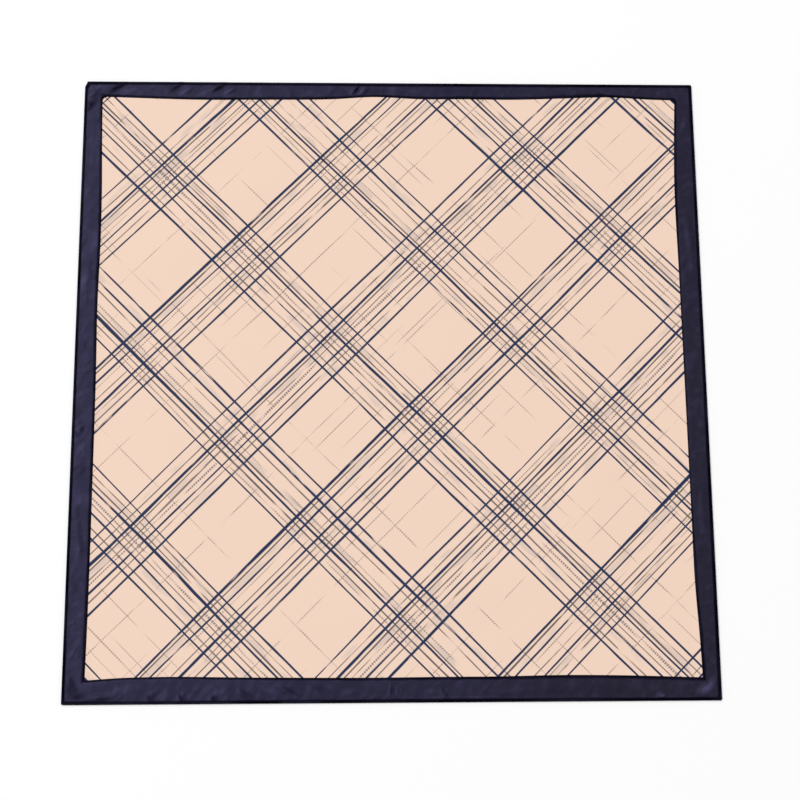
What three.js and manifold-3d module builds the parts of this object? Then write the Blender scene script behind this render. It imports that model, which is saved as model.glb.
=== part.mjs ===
// A square silk scarf laid open and flat. A thin centre panel is edged by a navy satin band,
// which is cut as four strips, mitred where they meet and finished with a rolled hem.
// Lengths are in millimetres, +Z is up and +Y is the far side. The origin is on the surface
// that the scarf lies on, under the middle of the square.

import * as THREE from 'three';
import { mergeVertices } from 'three/addons/utils/BufferGeometryUtils.js';
import Module from 'manifold-3d';

// Driving sizes
const SCARF_SIDE = 900;
const HALF = SCARF_SIDE / 2;
const PANEL_THICKNESS = 1.0;
const BAND_THICKNESS = 1.6;
const BAND_THICKNESS_AT_SEAM = 1.2;
const HEM_WIDTH = 3.2;
const HEM_HEIGHT = 3.0;
const SEAM_GAP = 0.3;

// Where the band is eased into its seam, its creases die out over this distance.
const CREASE_FADE = 7;

// Spacing of the cross-sections along a strip, on a crease and away from it, and of the
// panel's grid. Within the corner zone the sections fan round towards the mitre.
const FINE_STEP = 5;
const COARSE_STEP = 25;
const CORNER_ZONE = 70;
const PANEL_CELLS = 25;

// Each side runs clockwise round the square, and its band lies outward of the panel.
const SIDES = {
  top: { along: new THREE.Vector2(1, 0), outward: new THREE.Vector2(0, 1) },
  right: { along: new THREE.Vector2(0, -1), outward: new THREE.Vector2(1, 0) },
  bottom: { along: new THREE.Vector2(-1, 0), outward: new THREE.Vector2(0, -1) },
  left: { along: new THREE.Vector2(0, 1), outward: new THREE.Vector2(-1, 0) },
};
const SIDE_ORDER = ['top', 'right', 'bottom', 'left'];

// The band is hand-sewn and uneven: its width at places along each side, which are measured
// from the middle of the side in the direction that the side runs.
const BAND_WIDTHS = {
  top: [
    { place: -426, width: 23.4 },
    { place: -368, width: 25.2 },
    { place: -297, width: 27.1 },
    { place: -180, width: 26.7 },
    { place: -85, width: 25.3 },
    { place: -25, width: 21.6 },
    { place: 45, width: 24.6 },
    { place: 110, width: 24.3 },
    { place: 176, width: 24.7 },
    { place: 272, width: 21.6 },
    { place: 320, width: 20.0 },
    { place: 391, width: 23.4 },
    { place: 424, width: 24.2 },
  ],
  right: [
    { place: -425, width: 26.4 },
    { place: -353, width: 30.2 },
    { place: -303, width: 32.1 },
    { place: -156, width: 31.6 },
    { place: 37, width: 30.7 },
    { place: 194, width: 30.1 },
    { place: 283, width: 29.8 },
    { place: 371, width: 26.3 },
    { place: 418, width: 24.9 },
  ],
  bottom: [
    { place: -424, width: 31.2 },
    { place: -308, width: 34.8 },
    { place: -242, width: 35.6 },
    { place: -132, width: 34.2 },
    { place: -89, width: 34.2 },
    { place: 43, width: 33.7 },
    { place: 195, width: 35.0 },
    { place: 325, width: 36.5 },
    { place: 369, width: 35.6 },
    { place: 420, width: 32.4 },
  ],
  left: [
    { place: -417, width: 30.4 },
    { place: -350, width: 31.2 },
    { place: -129, width: 31.4 },
    { place: 8, width: 30.9 },
    { place: 102, width: 29.5 },
    { place: 221, width: 30.7 },
    { place: 295, width: 29.6 },
    { place: 344, width: 28.0 },
    { place: 425, width: 26.0 },
  ],
};

// The corner at the start of each side: the radius that the band's seam turns on, and how far
// the hem is drawn in there, along the side before and along this one.
const START_CORNERS = {
  top: { seamRadius: 8, drawnInBefore: 8.5, drawnInAfter: 3.8 },
  right: { seamRadius: 7, drawnInBefore: 1.5, drawnInAfter: 1.5 },
  bottom: { seamRadius: 1.5, drawnInBefore: 1.5, drawnInAfter: 1.5 },
  left: { seamRadius: 1.5, drawnInBefore: 1.5, drawnInAfter: 1.5 },
};

// Section of the rolled hem, from its outer edge inwards.
const HEM_SECTION = [
  { inward: 0, under: 0.27 * HEM_HEIGHT, over: 0.73 * HEM_HEIGHT },
  { inward: 0.28 * HEM_WIDTH, under: 0, over: HEM_HEIGHT },
  { inward: 0.7 * HEM_WIDTH, under: 0, over: 0.95 * HEM_HEIGHT },
  { inward: HEM_WIDTH, under: 0, over: BAND_THICKNESS },
];

// Section of the band from the hem to the seam, as shares of the way.
const BAND_SECTION = [
  { share: 1 / 3, over: BAND_THICKNESS },
  { share: 2 / 3, over: BAND_THICKNESS },
  { share: 1, over: BAND_THICKNESS_AT_SEAM },
];

// Creases of the band: the middle of each raised fold, its length and width, the turn of its
// length from +X in degrees, and its height.
const BAND_CREASES = [
  { x: -437, y: 431, length: 34, width: 15, turn: 42, height: 2.0 },
  { x: -406, y: 440, length: 46, width: 14, turn: 27, height: 2.8 },
  { x: -319, y: 441, length: 38, width: 13, turn: 31, height: 2.4 },
  { x: -300, y: 436, length: 30, width: 12, turn: 37, height: 1.6 },
  { x: -255, y: 442, length: 38, width: 13, turn: 30, height: 2.4 },
  { x: -236, y: 437, length: 28, width: 12, turn: 37, height: 1.6 },
  { x: -52, y: 440, length: 28, width: 10, turn: 58, height: 2.6 },
  { x: -38, y: 438, length: 26, width: 10, turn: 55, height: 1.8 },
  { x: 118, y: 439, length: 60, width: 20, turn: 15, height: 0.9 },
  { x: 284, y: 440, length: 70, width: 16, turn: -8, height: 1.0 },
  { x: -441, y: 414, length: 34, width: 15, turn: 52, height: 2.2 },
  { x: -437, y: 152, length: 70, width: 18, turn: 84, height: 1.0 },
  { x: -440, y: -75, length: 28, width: 14, turn: 62, height: 1.7 },
  { x: -436, y: -222, length: 80, width: 18, turn: 96, height: 1.1 },
  { x: -437, y: -426, length: 40, width: 17, turn: -66, height: 2.0 },
  { x: -402, y: -441, length: 60, width: 14, turn: 5, height: 1.6 },
  { x: -331, y: -441, length: 26, width: 13, turn: 58, height: 1.6 },
  { x: -289, y: -442, length: 24, width: 13, turn: 50, height: 1.6 },
  { x: -245, y: -442, length: 26, width: 13, turn: 45, height: 1.8 },
  { x: -200, y: -439, length: 34, width: 14, turn: -28, height: 1.8 },
  { x: -145, y: -434, length: 44, width: 14, turn: -29, height: 2.1 },
  { x: -2, y: -436, length: 30, width: 12, turn: -80, height: 2.0 },
  { x: 68, y: -440, length: 26, width: 12, turn: -61, height: 1.5 },
  { x: 165, y: -436, length: 80, width: 18, turn: 4, height: 0.9 },
  { x: 366, y: -442, length: 24, width: 13, turn: 43, height: 1.8 },
  { x: 428, y: -433, length: 46, width: 17, turn: 38, height: 2.6 },
  { x: 436, y: -182, length: 90, width: 17, turn: 88, height: 0.9 },
  { x: 436, y: 214, length: 90, width: 17, turn: 93, height: 1.0 },
];

// Low swells where the whole cloth doesn't quite touch the surface, in the same columns.
const CLOTH_SWELLS = [
  { x: -265, y: 235, length: 420, width: 130, turn: 38, height: 1.3 },
  { x: 215, y: 290, length: 380, width: 120, turn: -24, height: 1.1 },
  { x: 300, y: -95, length: 360, width: 110, turn: 76, height: 1.2 },
  { x: -300, y: -170, length: 340, width: 120, turn: -62, height: 1.2 },
  { x: 60, y: -310, length: 420, width: 110, turn: 12, height: 1.3 },
  { x: 40, y: 130, length: 260, width: 90, turn: 52, height: 0.8 },
];

const panelSilk = new THREE.MeshStandardMaterial({ color: '#f3d5c0', roughness: 0.55, metalness: 0 });
const navySatin = new THREE.MeshStandardMaterial({ color: '#2e2b48', roughness: 0.38, metalness: 0 });

const smoothWidths = Object.fromEntries(
  SIDE_ORDER.map((side) => {
    const places = BAND_WIDTHS[side].map((row) => row.place);
    const widths = BAND_WIDTHS[side].map((row) => row.width);
    return [side, new THREE.CubicInterpolant(places, widths, 1)];
  }),
);

function neighbour(side, steps) {
  const index = SIDE_ORDER.indexOf(side) + steps + SIDE_ORDER.length;
  return SIDE_ORDER[index % SIDE_ORDER.length];
}

function tableWidth(side, place) {
  return smoothWidths[side].evaluate(place)[0];
}

// A point of the plan, from its place along a side and its distance outward of the middle.
function planPoint(side, place, outward) {
  const point = SIDES[side].along.clone().multiplyScalar(place);
  return point.addScaledVector(SIDES[side].outward, outward);
}

// What happens at one end of a side: sign -1 is its start and +1 its end.
function cornerAt(side, sign) {
  const isStart = sign < 0;
  const corner = START_CORNERS[isStart ? side : neighbour(side, 1)];
  const bandBeside = isStart ? tableWidth(neighbour(side, -1), HALF) : tableWidth(neighbour(side, 1), -HALF);
  const sharpSeamCorner = HALF - bandBeside;
  const arcMiddle = corner.seamRadius * (1 - Math.SQRT1_2);
  const mitreCut = 0.75 * SEAM_GAP;
  return {
    seamRadius: corner.seamRadius,
    sharpSeamCorner,
    seamEnd: sharpSeamCorner - arcMiddle - mitreCut,
    hemEnd: HALF - mitreCut - (isStart ? corner.drawnInAfter : 0),
    hemTurn: isStart ? 0 : corner.drawnInBefore,
    hemDrawnIn: isStart ? 0 : corner.drawnInAfter,
  };
}

// Extra width where the seam turns the corner on its radius.
function cornerRounding(radius, distance) {
  const reach = radius - Math.min(Math.max(distance, 0), radius);
  return radius - Math.sqrt(radius ** 2 - reach ** 2);
}

function bandWidth(side, place) {
  const corner = cornerAt(side, Math.sign(place));
  const distance = corner.sharpSeamCorner - Math.abs(place);
  return tableWidth(side, place) + cornerRounding(corner.seamRadius, distance);
}

function hemOutward(side, place) {
  const corner = cornerAt(side, Math.sign(place));
  if (corner.hemTurn === 0) {
    return HALF;
  }
  const share = (Math.abs(place) - (HALF - corner.hemTurn)) / corner.hemTurn;
  return HALF - corner.hemDrawnIn * THREE.MathUtils.clamp(share, 0, 1);
}

// Stations count along a side from -HALF to HALF. In the corner zone they are stretched so
// that the last one falls where the hem or the seam ends at the mitre.
function stretchToEnd(station, end) {
  const straight = HALF - CORNER_ZONE;
  const past = Math.abs(station) - straight;
  if (past <= 0) {
    return station;
  }
  return Math.sign(station) * (straight + (past * (end - straight)) / CORNER_ZONE);
}

function hemPoint(side, station) {
  const place = stretchToEnd(station, cornerAt(side, Math.sign(station)).hemEnd);
  return planPoint(side, place, hemOutward(side, place));
}

function seamPoint(side, station) {
  const place = stretchToEnd(station, cornerAt(side, Math.sign(station)).seamEnd);
  return planPoint(side, place, HALF - bandWidth(side, place));
}

// A raised fold: a rounded hump across its width that runs out at both ends.
function foldHeight(fold, x, y) {
  const turn = THREE.MathUtils.degToRad(fold.turn);
  const along = (x - fold.x) * Math.cos(turn) + (y - fold.y) * Math.sin(turn);
  const across = (y - fold.y) * Math.cos(turn) - (x - fold.x) * Math.sin(turn);
  const share = Math.hypot(along / (fold.length / 2), across / (fold.width / 2));
  return share < 1 ? fold.height * Math.cos((share * Math.PI) / 2) ** 2 : 0;
}

function totalHeight(folds, x, y) {
  return folds.reduce((sum, fold) => sum + foldHeight(fold, x, y), 0);
}

// Sections of a strip stand closer together where a crease crosses its band.
function isOnCrease(side, station) {
  const widestBand = 40;
  return BAND_CREASES.some((fold) => {
    const middle = new THREE.Vector2(fold.x, fold.y);
    const outward = middle.dot(SIDES[side].outward);
    const place = middle.dot(SIDES[side].along);
    const turn = THREE.MathUtils.degToRad(fold.turn);
    const run = Math.abs(SIDES[side].along.dot(new THREE.Vector2(Math.cos(turn), Math.sin(turn))));
    const reach = (fold.width + (fold.length - fold.width) * run) / 2;
    return fold.height > 1.2 && outward > HALF - widestBand && Math.abs(place - station) < reach;
  });
}

// Stations that a corner needs: where the hem turns in, and along the seam's arc.
function cornerStations(side, sign) {
  const corner = cornerAt(side, sign);
  const straight = HALF - CORNER_ZONE;
  const arcShares = corner.seamRadius > 2 ? [1, 0.65, 0.42] : [];
  const onArc = arcShares.map((share) => {
    const place = corner.sharpSeamCorner - share * corner.seamRadius;
    return straight + ((place - straight) * CORNER_ZONE) / (corner.seamEnd - straight);
  });
  const atHemTurn = corner.hemTurn > 0 ? [HALF - corner.hemTurn] : [];
  return [...onArc, ...atHemTurn, HALF].map((station) => sign * station);
}

function stationsAlong(side) {
  const fixed = [...cornerStations(side, -1), ...cornerStations(side, 1)];
  const spread = [];
  let last = -Infinity;
  for (let station = -HALF; station < HALF; station += FINE_STEP) {
    const needed = [-FINE_STEP, 0, FINE_STEP].some((offset) => isOnCrease(side, station + offset));
    const isClear = fixed.every((other) => Math.abs(station - other) > FINE_STEP / 2);
    if (isClear && (needed || station - last >= COARSE_STEP)) {
      spread.push(station);
      last = station;
    }
  }
  return [...fixed, ...spread].sort((a, b) => a - b);
}

const stations = Object.fromEntries(SIDE_ORDER.map((side) => [side, stationsAlong(side)]));

// One point of a strip's surface: its plan point, and the heights of its two faces there.
function stripPoint(side, station, row) {
  const hem = hemPoint(side, station);
  const seam = seamPoint(side, station);
  const width = Math.abs(hem.clone().sub(seam).dot(SIDES[side].outward));
  const hemShare = HEM_WIDTH / width;
  const onHem = row < HEM_SECTION.length;
  const section = onHem ? HEM_SECTION[row] : BAND_SECTION[row - HEM_SECTION.length];
  const share = onHem ? section.inward / width : hemShare + (1 - hemShare) * section.share;
  const point = hem.lerp(seam, share);
  const fade = THREE.MathUtils.smoothstep((1 - share) * width, 0, CREASE_FADE);
  const creases = fade * totalHeight(BAND_CREASES, point.x, point.y);
  const lift = creases + totalHeight(CLOTH_SWELLS, point.x, point.y);
  return { point, under: lift + (section.under ?? 0), over: lift + section.over };
}

// A strip is a grid of sections along the side and rows from the seam out to the hem.
function stripGeometry(side) {
  const sections = stations[side].length - 1;
  const rows = HEM_SECTION.length + BAND_SECTION.length - 1;
  const geometry = new THREE.BoxGeometry(1, 1, 1, sections, rows, 1);
  const position = geometry.getAttribute('position');
  for (let index = 0; index < position.count; index += 1) {
    const station = stations[side][Math.round((position.getX(index) + 0.5) * sections)];
    const row = Math.round((0.5 - position.getY(index)) * rows);
    const { point, under, over } = stripPoint(side, station, row);
    position.setXYZ(index, point.x, point.y, position.getZ(index) > 0 ? over : under);
  }
  geometry.computeVertexNormals();
  return geometry;
}

// The panel's edge follows the seams of all four strips, a little inside them.
function panelOutline() {
  const inset = 1 - SEAM_GAP / (HALF - BAND_WIDTHS.top[0].width - SEAM_GAP);
  const points = SIDE_ORDER.flatMap((side) => {
    return stations[side].slice(0, -1).map((station) => seamPoint(side, station).multiplyScalar(inset));
  });
  return new THREE.Shape(points);
}

// A sheet that follows the swells, wider than the panel that is cut from it.
function swellingSheet() {
  const geometry = new THREE.BoxGeometry(SCARF_SIDE, SCARF_SIDE, PANEL_THICKNESS, PANEL_CELLS, PANEL_CELLS, 1);
  const position = geometry.getAttribute('position');
  for (let index = 0; index < position.count; index += 1) {
    const lift = totalHeight(CLOTH_SWELLS, position.getX(index), position.getY(index));
    position.setZ(index, position.getZ(index) + PANEL_THICKNESS / 2 + lift);
  }
  return geometry;
}

const wasm = await Module();
wasm.setup();

function toSolid(geometry) {
  const bare = geometry.clone();
  bare.deleteAttribute('normal');
  bare.deleteAttribute('uv');
  const merged = mergeVertices(bare);
  const vertProperties = new Float32Array(merged.getAttribute('position').array);
  const triVerts = new Uint32Array(merged.getIndex().array);
  return new wasm.Manifold(new wasm.Mesh({ numProp: 3, vertProperties, triVerts }));
}

function toGeometry(solid) {
  const mesh = solid.getMesh();
  const geometry = new THREE.BufferGeometry();
  geometry.setAttribute('position', new THREE.BufferAttribute(mesh.vertProperties, 3));
  geometry.setIndex(new THREE.BufferAttribute(mesh.triVerts, 1));
  geometry.computeVertexNormals();
  return geometry;
}

function panelGeometry() {
  const cutterDepth = 20;
  const cutter = new THREE.ExtrudeGeometry(panelOutline(), { depth: cutterDepth, bevelEnabled: false });
  cutter.translate(0, 0, -cutterDepth / 2);
  return toGeometry(toSolid(swellingSheet()).intersect(toSolid(cutter)));
}

function namedMesh(name, geometry, material) {
  const mesh = new THREE.Mesh(geometry, material);
  mesh.name = name;
  return mesh;
}

const group = new THREE.Group();
group.add(namedMesh('centre_panel', panelGeometry(), panelSilk));
for (const side of SIDE_ORDER) {
  group.add(namedMesh(`border_${side}`, stripGeometry(side), navySatin));
}

export default group;
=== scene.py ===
"""Dresses the silk scarf that lies open and flat: a printed silk twill panel, a navy satin band
of four mitred strips with a rolled hem, and the hand stitches that hold hem and seam."""

import math
from functools import partial

import bmesh
import bpy
import numpy as np
from bpy.props import FloatProperty, FloatVectorProperty, IntProperty, PointerProperty
from bpy.types import Operator, Panel, PropertyGroup
from mathutils import Matrix, Vector


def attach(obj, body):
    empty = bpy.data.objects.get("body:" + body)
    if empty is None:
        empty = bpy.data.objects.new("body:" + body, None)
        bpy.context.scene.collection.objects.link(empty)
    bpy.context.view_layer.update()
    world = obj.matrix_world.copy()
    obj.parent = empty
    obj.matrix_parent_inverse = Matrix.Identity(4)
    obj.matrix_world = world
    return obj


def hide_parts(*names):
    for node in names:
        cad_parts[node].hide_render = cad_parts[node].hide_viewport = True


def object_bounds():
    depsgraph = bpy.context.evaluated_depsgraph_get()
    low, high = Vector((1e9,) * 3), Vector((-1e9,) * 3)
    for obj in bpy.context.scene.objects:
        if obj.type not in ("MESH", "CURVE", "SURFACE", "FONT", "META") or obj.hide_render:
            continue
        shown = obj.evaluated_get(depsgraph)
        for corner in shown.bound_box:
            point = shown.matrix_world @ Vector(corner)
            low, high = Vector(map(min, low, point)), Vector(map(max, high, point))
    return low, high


bl_info = {
    "name": "Silk scarf laid flat",
    "version": (1, 0, 0),
    "blender": (4, 5, 0),
    "location": "3D View > Sidebar > Scarf",
    "description": "Makes a square silk scarf with a satin border band, piece by piece",
    "category": "Add Mesh",
}

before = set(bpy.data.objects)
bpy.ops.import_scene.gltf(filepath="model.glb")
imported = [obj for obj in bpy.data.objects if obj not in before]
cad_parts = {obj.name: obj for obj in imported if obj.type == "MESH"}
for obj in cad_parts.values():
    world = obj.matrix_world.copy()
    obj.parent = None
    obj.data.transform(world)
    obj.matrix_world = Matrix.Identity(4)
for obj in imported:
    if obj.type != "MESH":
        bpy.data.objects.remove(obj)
CAD_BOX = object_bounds()
MM = 0.001
SIDE = CAD_BOX[1][0] - CAD_BOX[0][0]
HALF = SIDE / 2 / MM
ROOT = "root"

# Shape tables, in millimetres. Each side runs clockwise round the square.

SIDES = {
    "top": {"along": (1, 0), "outward": (0, 1)},
    "right": {"along": (0, -1), "outward": (1, 0)},
    "bottom": {"along": (-1, 0), "outward": (0, -1)},
    "left": {"along": (0, 1), "outward": (-1, 0)},
}
SIDE_ORDER = list(SIDES)

# Width of the band at places along each side: (place from the side's middle, width).
BAND_WIDTHS = {
    "top": [
        (-426, 23.4), (-368, 25.2), (-297, 27.1), (-180, 26.7), (-85, 25.3), (-25, 21.6),
        (45, 24.6), (110, 24.3), (176, 24.7), (272, 21.6), (320, 20.0), (391, 23.4),
        (424, 24.2),
    ],
    "right": [
        (-425, 26.4), (-353, 30.2), (-303, 32.1), (-156, 31.6), (37, 30.7), (194, 30.1),
        (283, 29.8), (371, 26.3), (418, 24.9),
    ],
    "bottom": [
        (-424, 31.2), (-308, 34.8), (-242, 35.6), (-132, 34.2), (-89, 34.2), (43, 33.7),
        (195, 35.0), (325, 36.5), (369, 35.6), (420, 32.4),
    ],
    "left": [
        (-417, 30.4), (-350, 31.2), (-129, 31.4), (8, 30.9), (102, 29.5), (221, 30.7),
        (295, 29.6), (344, 28.0), (425, 26.0),
    ],
}

# The corner at the start of each side: radius of the seam, and how far the hem is drawn in
# there along the side before and along this one.
PLAIN_CORNER = {"seam_radius": 1.5, "before": 1.5, "after": 1.5}
START_CORNERS = {
    "top": {"seam_radius": 8, "before": 8.5, "after": 3.8},
    "right": {**PLAIN_CORNER, "seam_radius": 7},
    "bottom": PLAIN_CORNER,
    "left": PLAIN_CORNER,
}

# Width of the near-black line that the rolled hem and the turned edge at the seam show from above, partly
# their own deep navy and partly painted shade, at places along each side.
HEM_LINES = {
    "top": [
        (-430, 4.4), (-300, 3.9), (-200, 4.2), (-100, 4.2), (0, 4.6), (100, 4.7), (200, 4.5),
        (400, 4.4),
    ],
    "right": [(-430, 4.4), (-300, 4.1), (-150, 4.1), (0, 4.2), (200, 4.2), (430, 4.5)],
    "bottom": [(-430, 4.0), (-300, 4.1), (-200, 4.3), (0, 4.4), (120, 4.3), (300, 3.7), (430, 4.1)],
    "left": [(-430, 4.0), (-250, 3.8), (-50, 3.9), (100, 3.8), (220, 3.9), (320, 4.1), (430, 4.1)],
}
SEAM_LINES = {
    "top": [
        (-430, 3.3), (-380, 3.0), (-330, 2.8), (-200, 3.2), (-100, 3.1), (-40, 2.4), (0, 2.7),
        (60, 3.1), (90, 3.8), (150, 3.4), (200, 3.1), (250, 3.6), (310, 3.8), (350, 3.0),
        (430, 2.8),
    ],
    "right": [
        (-430, 2.8), (-350, 3.1), (-300, 3.5), (-240, 2.8), (-200, 1.4), (0, 1.1), (170, 1.2),
        (225, 2.4), (260, 3.2), (380, 3.8), (430, 3.9),
    ],
    "bottom": [
        (-430, 3.9), (-225, 3.7), (-100, 3.4), (0, 3.1), (100, 2.6), (225, 2.4), (300, 1.7),
        (430, 2.0),
    ],
    "left": [
        (-430, 3.9), (-300, 3.4), (-225, 2.9), (-150, 3.2), (-50, 2.6), (50, 2.9), (100, 3.2),
        (200, 3.3), (300, 2.8), (380, 2.1), (430, 2.5),
    ],
}

# Raised folds of the band: middle x and y, length, width, turn from +X in degrees, height.
BAND_CREASES = [
    (-437, 431, 34, 15, 42, 2.0), (-406, 440, 46, 14, 27, 2.8), (-319, 441, 38, 13, 31, 2.4),
    (-300, 436, 30, 12, 37, 1.6), (-255, 442, 38, 13, 30, 2.4), (-236, 437, 28, 12, 37, 1.6),
    (-52, 440, 28, 10, 58, 2.6), (-38, 438, 26, 10, 55, 1.8), (118, 439, 60, 20, 15, 0.9),
    (284, 440, 70, 16, -8, 1.0), (-441, 414, 34, 15, 52, 2.2), (-437, 152, 70, 18, 84, 1.0),
    (-440, -75, 28, 14, 62, 1.7), (-436, -222, 80, 18, 96, 1.1), (-437, -426, 40, 17, -66, 2.0),
    (-402, -441, 60, 14, 5, 1.6), (-331, -441, 26, 13, 58, 1.6), (-289, -442, 24, 13, 50, 1.6),
    (-245, -442, 26, 13, 45, 1.8), (-200, -439, 34, 14, -28, 1.8), (-145, -434, 44, 14, -29, 2.1),
    (-2, -436, 30, 12, -80, 2.0), (68, -440, 26, 12, -61, 1.5), (165, -436, 80, 18, 4, 0.9),
    (366, -442, 24, 13, 43, 1.8), (428, -433, 46, 17, 38, 2.6), (436, -182, 90, 17, 88, 0.9),
    (436, 214, 90, 17, 93, 1.0),
]

# Soft creases shown as painted shade or painted highlight in the satin's colour, with only a slight lift of
# the cloth, in the same columns but for the last, which is how deep the painted shade is (below 0) or how
# bright the painted highlight (above 0).
BAND_PAINTED_STREAKS = [
    (-401, 441, 50, 9, 25, -1.2), (-424, 431, 30, 9, 40, -0.5), (-431, 441, 30, 8, 40, 0.35),
    (-384, 436, 40, 9, 22, 0.3), (-317, 441, 36, 8, 24, -0.9), (-303, 436, 30, 6, 30, 0.3),
    (-253, 440, 32, 8, 30, -1.0), (-240, 435, 26, 6, 32, 0.35), (-276, 433, 28, 9, 30, 0.25),
    (-50, 439, 24, 5, 51, -1.4), (-43, 437, 24, 4, 51, 0.7), (-58, 438, 20, 5, 51, 0.3),
    (-18, 436, 44, 16, 8, -0.35), (30, 438, 60, 18, 4, 0.12), (110, 438, 90, 18, 2, -0.25),
    (200, 438, 50, 16, 6, -0.15), (258, 434, 14, 6, 20, -0.6), (314, 434, 20, 7, 0, -0.6),
    (400, 437, 14, 8, 50, 0.3), (-440, 414, 16, 13, 40, -0.9), (-441, 440, 14, 8, 60, 0.25),
    (-436, 330, 70, 12, 88, 0.15), (-443, 75, 30, 10, 84, -0.25), (-434, 52, 18, 9, 70, -0.3),
    (-443, -78, 15, 7, 80, -0.8), (-434, -70, 16, 9, 50, -0.7), (-438, -100, 22, 8, 60, 0.3),
    (-431, -130, 24, 12, 70, -0.4), (-436, -188, 30, 12, 80, -0.3), (-436, -296, 26, 14, 70, -0.45),
    (-434, -240, 30, 10, 80, 0.2), (-438, -345, 30, 9, 80, 0.2), (-437, -424, 32, 15, 88, -0.8),
    (-425, -440, 34, 14, 12, -0.7), (-395, -443, 30, 9, 3, -0.6), (-436, -444, 24, 3, 0, 0.4),
    (95, -443, 190, 3, 0, 0.3), (-370, -430, 40, 14, 20, 0.2), (-332, -441, 14, 11, 80, -1.0),
    (-318, -439, 16, 8, 60, 0.25), (-289, -441, 17, 8, -72, -1.1), (-277, -440, 18, 7, 60, 0.25),
    (-245, -442, 15, 11, 80, -1.1), (-233, -434, 20, 8, 50, 0.25), (-203, -436, 22, 13, -40, -0.9),
    (-170, -433, 26, 10, -10, 0.25), (-145, -432, 38, 8, -17, -0.6), (-140, -440, 36, 8, -12, 0.2),
    (-98, -432, 30, 14, -20, -0.4), (-60, -434, 30, 14, 10, 0.15), (-3, -434, 24, 5, 86, -1.2),
    (3, -434, 22, 5, 86, 0.4), (50, -435, 36, 12, 0, 0.2), (68, -434, 18, 8, 88, -0.5),
    (220, -436, 90, 22, 0, -0.25), (300, -436, 90, 22, 0, -0.3), (368, -443, 12, 8, 30, 0.9),
    (430, -434, 36, 16, 38, 0.95), (438, -424, 26, 14, 66, 0.3), (410, -440, 20, 8, 20, -0.4),
    (443, -40, 40, 6, 90, 0.25), (436, 170, 60, 14, 90, 0.15), (434, 385, 26, 9, 70, 0.25),
]

# Low swells of the whole cloth, in the columns of the raised folds.
CLOTH_SWELLS = [
    (-265, 235, 420, 130, 38, 1.3), (215, 290, 380, 120, -24, 1.1), (300, -95, 360, 110, 76, 1.2),
    (-300, -170, 340, 120, -62, 1.2), (60, -310, 420, 110, 12, 1.3), (40, 130, 260, 90, 52, 0.8),
]

# Printed lines across one repeat of each of the two directions of the check: where the line
# lies in the repeat and its width in millimetres, how dark it prints, how much of its length has
# rubbed away and, on a dotted line, how far apart its dots are.
LINE_COLUMNS = ("place", "width", "dark", "worn", "dots")
DOTS = 3.8
RISING_LINES = [
    (4, 3.6, 0.99, 0.05), (9.4, 2.0, 0.85, 0.2), (19, 2.5, 0.98, 0.1), (25.5, 1.8, 0.62, 0.4, DOTS),
    (38.5, 1.7, 0.75, 0.3), (47, 3.0, 0.985, 0.08), (53, 1.6, 0.65, 0.4), (60, 1.7, 0.8, 0.25),
    (70, 2.6, 0.98, 0.1), (109, 1.6, 0.6, 0.45, DOTS), (178, 2.5, 0.98, 0.1), (192, 1.7, 0.8, 0.25),
    (201, 3.4, 0.99, 0.05), (206.4, 2.0, 0.85, 0.15), (215, 1.7, 0.75, 0.3), (221, 2.6, 0.72, 0.3, DOTS),
    (229, 2.6, 0.985, 0.1), (238, 1.7, 0.75, 0.3), (249, 3.1, 0.99, 0.08), (288, 1.6, 0.58, 0.5, DOTS),
]
FALLING_LINES = [
    (10, 2.6, 0.985, 0.1), (16.5, 1.8, 0.62, 0.4, DOTS), (24, 1.8, 0.85, 0.2), (33, 3.6, 0.99, 0.05),
    (38.6, 1.9, 0.85, 0.2), (47, 1.8, 0.62, 0.4, DOTS), (61, 1.7, 0.8, 0.3), (71, 2.9, 0.985, 0.1),
    (86, 2.5, 0.98, 0.15), (121, 1.6, 0.6, 0.45, DOTS), (208, 3.3, 0.99, 0.05), (217, 1.7, 0.75, 0.3),
    (231, 2.5, 0.98, 0.1), (240, 1.7, 0.8, 0.25), (247, 2.6, 0.7, 0.35, DOTS), (256, 3.0, 0.99, 0.08),
    (261.2, 1.9, 0.85, 0.2), (270, 1.7, 0.75, 0.35), (279, 2.6, 0.985, 0.1), (322, 1.6, 0.58, 0.5, DOTS),
]
RISING_SHADES = [
    (14, 7, 0.24, 0.5), (57, 8, 0.24, 0.55), (188, 6, 0.24, 0.6), (210, 7, 0.31, 0.5),
    (243, 8, 0.22, 0.6),
]
FALLING_SHADES = [
    (20, 7, 0.24, 0.6), (43, 7, 0.31, 0.5), (75, 8, 0.24, 0.55), (227, 7, 0.26, 0.55),
    (265, 8, 0.26, 0.5),
]

# Lines at least this wide print in the strong ink.
STRONG_WIDTH = 2.4

# Soft edge of a printed line and of a printed shade, and the range over which a line strays.
LINE_SOFTNESS = 0.6
SHADE_SOFTNESS = 4.0
DRIFT = 5.0

# Share of the places for stray strokes on the clear ground that hold one.
STRAY_SHARE = 0.08

# How many small puckers the hem pulls into the band on each side.
PUCKER_COUNTS = {"top": 46, "right": 20, "bottom": 44, "left": 48}

# Where the two rows of stitches lie: in from the hem or back from the seam, and up.
HEM_STITCHES_IN = 3.25
HEM_STITCHES_UP = 1.62
SEAM_STITCHES_BACK = 1.2
SEAM_STITCHES_UP = 1.38


def length_property(name, millimetres, description):
    return FloatProperty(name=name, description=description, default=millimetres * MM, subtype="DISTANCE")


def angle_property(name, degrees, description):
    return FloatProperty(name=name, description=description, default=math.radians(degrees), subtype="ANGLE")


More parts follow.
